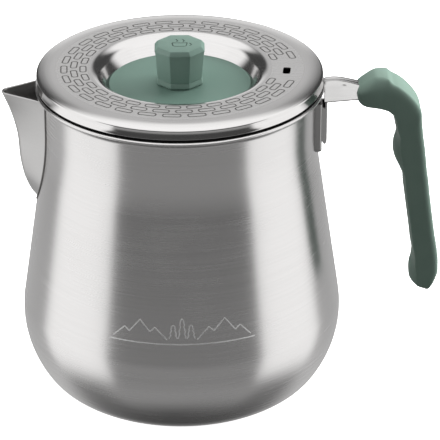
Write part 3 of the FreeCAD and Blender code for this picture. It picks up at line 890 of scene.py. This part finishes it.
def make_disc():
    bm = bmesh.new()
    low, high, r = disc_low.z, disc_high.z, disc_high.x
    edge = arc((r - 0.5, high - 0.5), 0.5, 0, 90, 6)
    profile = [(screw_hole, low), (r - 0.2, low), (r, low + 0.2)] + edge + [(screw_hole, high)]
    turn_strip(bm, profile, closed=True)
    return piece("lid_disc_inlay", bm, "lid", ["lid_disc"], [disc_green])


def octagon(flats, corner):
    points = [on_circle(flats / 2 / math.cos(math.pi / 8), 22.5 + 45 * i) for i in range(8)]
    return rounded(points, corner, 4)


def make_knob():
    bm = bmesh.new()
    low, top, corner = knob_low.z, knob_high.z, 0.75
    pocket_radius, pocket_top, glyph_depth = 4.2, 166.6, 0.28
    # across the flats, height
    stations = [(19.0, low), (20.0, low + 0.35), (20.6, low + 0.7), (20.7, low + 1.0), (20.5, low + 1.3),
                (19.9, low + 2.9), (19.7, low + 3.1), (19.7, low + 3.25), (20.1, low + 3.5),
                (22.3, top - 2.3), (22.7, top - 2.1), (22.7, top - 1.9), (22.4, top - 1.65),
                (20.1, top - 0.22), (19.6, top - 0.05), (19.2, top)]
    sections = [[(*p, z) for p in octagon(flats, corner)] for flats, z in stations]
    skin(bm, sections)
    flat_face(bm, octagon(stations[-1][0], corner), [], glyph(), top, glyph_depth, 1)
    pocket = circle(pocket_radius, 48)
    flat_face(bm, octagon(stations[0][0], corner), [pocket], [], low)
    wall(bm, pocket, low, pocket_top)
    bm.faces.new(level_loop(bm, pocket, pocket_top))
    return piece("knob_moulding", bm, "lid", ["knob"], [knob_green, glyph_green])


def band(path, width):
    """A closed loop round an open path, with blunt ends."""
    left, right = [], []
    for i, p in enumerate(path):
        ahead = Vector(path[min(i + 1, len(path) - 1)]) - Vector(path[max(i - 1, 0)])
        side = Vector((-ahead.y, ahead.x)).normalized() * width / 2
        left.append(tuple(Vector(p) + side))
        right.append(tuple(Vector(p) - side))
    return left + right[::-1]


def glyph():
    """A cup's outline with two wisps of steam."""
    line = 0.42
    cup = rounded([(-3.1, -3.4), (3.1, -3.4), (3.7, 0.9), (-3.7, 0.9)], [1.5, 1.5, 0.3, 0.3], 5)
    hollow = rounded([(-2.75, -2.98), (2.75, -2.98), (3.2, 0.48), (-3.2, 0.48)], [1.1, 1.1, 0.2, 0.2], 5)
    grooves = [(cup, hollow)]
    grooves.append((band(arc((3.75, -1.1), 1.55, -62, 70, 10), line), None))
    for x in (-1.5, 1.5):
        wisp = [(x + 0.55 * math.sin(3.6 * k / 12), 1.9 + 3.0 * k / 12) for k in range(13)]
        grooves.append((band(wisp, line), None))
    return grooves


def make_collar():
    """The ring under the lid: a plug for the neck, a cone that rests on its flare and a flange."""
    bm = bmesh.new()
    low, high = node_box("lid_collar")
    plug_radius, seat_radius, t = 61.3, 63.2, lid_sheet
    plug_top, seat_low, shelf = 151.6, 154.6, high.z - t
    plug_inner, seat_inner = plug_radius - t, seat_radius - t
    profile = [(plug_inner, low.z + 0.35), (plug_inner + 0.2, low.z), (plug_radius - 0.2, low.z),
               (plug_radius, low.z + 0.35), (plug_radius, plug_top), (seat_radius, seat_low),
               (seat_radius, shelf), (high.x, shelf), (high.x, high.z), (seat_inner, high.z),
               (seat_inner, seat_low + 0.2), (plug_inner, plug_top + 0.2)]
    turn_strip(bm, profile, closed=True)
    for face in bm.faces:
        # The band above the seat takes the near-black painted shadow of the gap under the lid's skirt.
        face.material_index = 1 if min(v.co.z for v in face.verts) > seat_low - 0.1 else 0
    return piece("lid_collar_ring", bm, "lid", ["lid_collar"], [sheet_steel, gap_shadow_steel])


# ---- etched motif on the pot
motif_base = 61.0
motif_line = 0.5
motif_step = 0.8
motif_sunk, motif_proud = -0.10, 0.035


def make_motif():
    """A thin etched line of hills and firs round the front of the belly."""
    bm = bmesh.new()
    left = [(-33, 0), (-27.5, 5.2), (-25.2, 3.2), (-20, 9.4), (-15.2, 4.0), (-12.8, 6.2), (-7.0, 0.6)]
    right = [(7.0, 0.6), (12.6, 6.4), (15.0, 4.2), (20.4, 9.8), (25.4, 3.4), (27.8, 5.4), (33, 0)]
    etch(bm, left)
    etch(bm, right)
    trunk, bough = 1.2, 1.9
    for x, height in ((-4.2, 7.6), (0.0, 10.6), (4.2, 7.6)):
        fir = [(x, 0)]
        step = (height - trunk) / 3
        for k in range(3):
            z = trunk + step * k
            w = bough * (1 - 0.22 * k)
            fir += [(x - w, z), (x - 0.55 * w, z + step * 0.82)]
        fir.append((x, height))
        etch(bm, fir[1:])
        etch(bm, [(2 * x - px, pz) for px, pz in fir[1:]])
    etch(bm, [(-35, -1.6), (35, -1.6)])
    return piece("pot_etched_motif", bm, "pot", [], [mark_steel])


def belly_point(across, up, proud):
    """A point on the front of the belly: across is measured round it and up along its height."""
    z = motif_base + up
    if z < wall_start[1]:
        r = belly_centre[0] + math.sqrt(belly_arc ** 2 - (z - belly_z) ** 2)
        tilt = math.asin((z - belly_z) / belly_arc)
    else:
        r = wall_radius(z)
        tilt = math.radians(taper)
    angle = across / belly_radius
    out = r + proud * math.cos(tilt)
    return (out * math.sin(angle), -out * math.cos(angle), z + proud * math.sin(tilt))


def etch(bm, path):
    """A flat line that stands a hair proud of the belly."""
    fine = []
    for first, last in zip(path, path[1:]):
        first, last = Vector(first), Vector(last)
        count = max(2, round((last - first).length / motif_step))
        fine += [(first.lerp(last, k / count), first.lerp(last, (k + 1) / count)) for k in range(count)]
    for a, b in fine:
        along = (b - a).normalized()
        side = Vector((-along.y, along.x)) * motif_line / 2
        corners = [a + side, b + side, b - side, a - side]
        levels = [[belly_point(p.x, p.y, proud) for p in corners] for proud in (motif_sunk, motif_proud)]
        skin(bm, levels, caps=(True, True))


# ---- inner pieces
def make_basket():
    """The basket's wall, with a rolled rim, and its drilled floor."""
    bm = bmesh.new()
    t, floor, corner, lean = 0.8, basket_low.z, 4.5, 4.0
    rim, bead, top = 37.0, 0.9, 133.6
    floor_radius, hub_radius = 31.0, 6.0
    centre = (floor_radius, floor + corner)
    roll = (rim + bead / 3, top)
    outer = arc(centre, corner, -90, -lean, 10) + [(rim - 0.35, top - 1.0)] + arc(roll, bead, -100, 190, 20)
    inner = [(rim - t - 0.2, top - 1.0)] + arc(centre, corner - t, -lean, -90, 10)
    turn_strip(bm, outer + inner)
    holes = rings_of_holes(((12.5, 10), (18.0, 16), (23.5, 22), (29.0, 28)), 1.3, 16)
    hub = circle(hub_radius, 60)
    for z in (floor, floor + t):
        flat_face(bm, circle(floor_radius), [hub] + holes, [], z)
    for loop in [hub] + holes:
        wall(bm, loop, floor, floor + t)
    return piece("basket_shell_pressing", bm, "basket", ["basket_shell"], [sheet_steel])


def make_spreader():
    """The drilled plate over the basket, with a turned-down edge and a collar."""
    bm = bmesh.new()
    t, z, r, low = 0.8, 134.8, spreader_high.x, spreader_low.z
    bore, top, bend, root = 5.25, spreader_high.z, 2.6, 1.6
    flat = r - bend
    turn = (flat, z + t - bend)
    edge = (arc(turn, bend, 90, 0, 10) + [(r, low + 0.3), (r - 0.3, low), (r - t + 0.2, low)]
            + [(r - t, low + 0.2)] + arc(turn, bend - t, 0, 90, 8))
    hub = bore + t + root
    collar = (arc((hub, z + t + root), root, -90, -180, 8) + [(bore + t, top - 0.2), (bore + t - 0.2, top)]
              + [(bore, top), (bore, z + 0.5), (bore + 0.5, z), (hub, z)])
    turn_strip(bm, edge)
    turn_strip(bm, collar)
    holes = rings_of_holes(((11.0, 8), (17.0, 14), (23.0, 20), (29.0, 26)), 0.9, 14)
    for level in (z, z + t):
        flat_face(bm, circle(flat), [circle(hub)] + holes, [], level)
    for loop in holes:
        wall(bm, loop, z, z + t)
    return piece("spreader_plate", bm, "spreader", ["spreader"], [sheet_steel])


def dress_cad_nodes():
    """Materials for the CAD nodes that are shown as they are."""
    finishes = {"knob_insert": brass, "knob_gasket": gasket_white}
    finishes |= dict.fromkeys(("knob_screw", "knob_washer", "knob_lock_washer"), screw_steel)
    finishes |= dict.fromkeys(("stem_tube", "stem_foot", "stem_stop", "basket_tube"), sheet_steel)
    for name, material in finishes.items():
        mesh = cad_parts[name].data
        mesh.materials.clear()
        mesh.materials.append(material)


# ---- studio
def make_studio():
    scene = bpy.context.scene
    scene.view_settings.view_transform = "Standard"
    world = bpy.data.worlds.new("studio")
    scene.world = world
    world.use_nodes = True
    graph = Graph(world.node_tree)
    way = graph.add("ShaderNodeTexCoord").outputs["Generated"]
    axes = graph.add("ShaderNodeSeparateXYZ", {0: way}).outputs
    ahead = graph.sum("MULTIPLY", axes["Y"], -1.0)
    azimuth = graph.sum("MULTIPLY", graph.sum("ARCTAN2", axes["X"], ahead), 180 / math.pi)
    spread = graph.sum("ABSOLUTE", azimuth)
    height = graph.sum("MULTIPLY", graph.sum("ARCSINE", axes["Z"]), 180 / math.pi)

    def product(*parts):
        return graph.chain("MULTIPLY", *parts)

    def brightest(*parts):
        return graph.chain("MAXIMUM", *parts)

    # Angles are in degrees. azimuth and spread are measured from the camera's side, height from level.
    # A box beside each flank, a light top, a band over the front, a panel behind, and dim light below.
    shift = graph.sum("SUBTRACT", graph.step(height, -8, 14, 0, 14), graph.step(azimuth, 5, -5, 0, 3.5))
    front_edge = graph.sum("SUBTRACT", spread, shift)
    sides = product(graph.step(front_edge, 53, 60), graph.step(spread, 124, 106),
                    graph.step(height, -52, -31), graph.step(height, 56, 40), 1.35)
    top = graph.step(height, 31, 46, 0.0, 1.4)
    brow = product(graph.step(spread, 100, 80), graph.step(height, 10, 27), 1.4)
    panel = product(graph.step(spread, 160, 173), graph.step(height, -6, 2),
                    graph.step(height, 19, 8, 0.68, 0.95))
    rear_low = product(graph.step(spread, 102, 124), graph.step(height, -8, -20),
                       graph.step(height, -64, -42), 0.50)
    apron = product(graph.step(spread, 80, 60), graph.step(height, -11, -17),
                    graph.step(height, -22, -31, 0.35, 0.19))
    floor_glow = product(graph.step(height, -30, -50), graph.step(spread, 100, 50, 0.12, 0.14))
    glow = graph.sum("ADD", floor_glow, brightest(rear_low, apron))
    low_light = product(graph.step(height, -78, -56), glow)
    dark = graph.sum("ADD", 0.075, low_light)
    glossy = brightest(dark, sides, top, brow, panel)
    path = graph.add("ShaderNodeLightPath").outputs
    diffuse = graph.step(height, -30, 60, 0.05, 0.32)
    lit = {"Factor": path["Is Diffuse Ray"], "A": glossy, "B": diffuse}
    seen = {"Factor": path["Is Camera Ray"], "A": graph.add("ShaderNodeMix", lit).outputs[0], "B": 1.0}
    strength = graph.add("ShaderNodeMix", seen).outputs[0]
    back = graph.add("ShaderNodeBackground", {"Color": (1, 1, 1, 1), "Strength": strength})
    out = graph.add("ShaderNodeOutputWorld")
    graph.tree.links.new(back.outputs[0], out.inputs["Surface"])

    soft_light("right_box", (0.80, 0.45, 0.42), 0.7, 16.0)
    soft_light("left_box", (-0.9, 0.1, 0.30), 0.8, 8.0)
    soft_light("front_box", (-0.8, -0.5, 0.30), 0.6, 0.8)
    soft_light("top_box", (0.10, 0.65, 0.85), 0.6, 3.5)


def soft_light(name, place, size, power):
    """A square soft light that looks at the middle of the object and isn't mirrored in it."""
    data = bpy.data.lights.new(name, "AREA")
    data.size = size
    data.energy = power
    lamp = placed(name, data)
    lamp.location = place
    aim = Vector((0.02, 0, 0.10)) - Vector(place)
    lamp.rotation_euler = aim.to_track_quat("-Z", "Y").to_euler()
    lamp.visible_glossy = False


def make_floor():
    half, z = 3.0, -2e-4
    mesh = bpy.data.meshes.new("floor")
    corners = [(-half, -half, z), (half, -half, z), (half, half, z), (-half, half, z)]
    mesh.from_pydata(corners, [], [(0, 1, 2, 3)])
    floor = placed("floor", mesh)
    material, graph, shader = new_material("floor_white")
    tone = graph.noise(graph.mapped((1, 1, 1)), 3.0, 2.0)
    plug(graph, shader, "Base Color", graph.tint(tone, (0.90, 0.90, 0.90), (0.93, 0.93, 0.93)))
    fix(shader, {"Roughness": 0.9, "Specular IOR Level": 0.1, "Emission Color": (1, 1, 1, 1),
                 "Emission Strength": 0.85})
    mesh.materials.append(material)
    floor.visible_glossy = False
    floor.visible_diffuse = False


def make_camera():
    """The camera stands in front and above; it is aimed a little to the right of the pot's axis."""
    distance, elevation, roll = 1.200, math.radians(27.4), math.radians(0.52)
    aim_right, aim_up = 0.01520, 0.00357
    target = Vector((0, 0, 0.080))
    ahead = Vector((0, math.cos(elevation), -math.sin(elevation)))
    right = Vector((1, 0, 0))
    up = Vector((0, math.sin(elevation), math.cos(elevation)))
    place = target - ahead * distance
    rolled_right = right * math.cos(roll) - up * math.sin(roll)
    rolled_up = right * math.sin(roll) + up * math.cos(roll)
    aim = (ahead + rolled_right * aim_right + rolled_up * aim_up).normalized()
    side = aim.cross(rolled_up).normalized()
    top = side.cross(aim)
    data = bpy.data.cameras.new("camera")
    data.lens = 208.7
    data.sensor_width = 36.0
    camera = placed("camera", data)
    turn = Matrix((side, top, -aim)).transposed()
    camera.matrix_world = Matrix.Translation(place) @ turn.to_4x4()
    bpy.context.scene.camera = camera


make_camera()
make_studio()
make_floor()
make_pot()
make_spout()
make_spout_weld()
make_bracket()
make_strap()
make_grip()
make_lid()
make_collar()
make_disc()
make_knob()
make_motif()
make_basket()
make_spreader()
dress_cad_nodes()
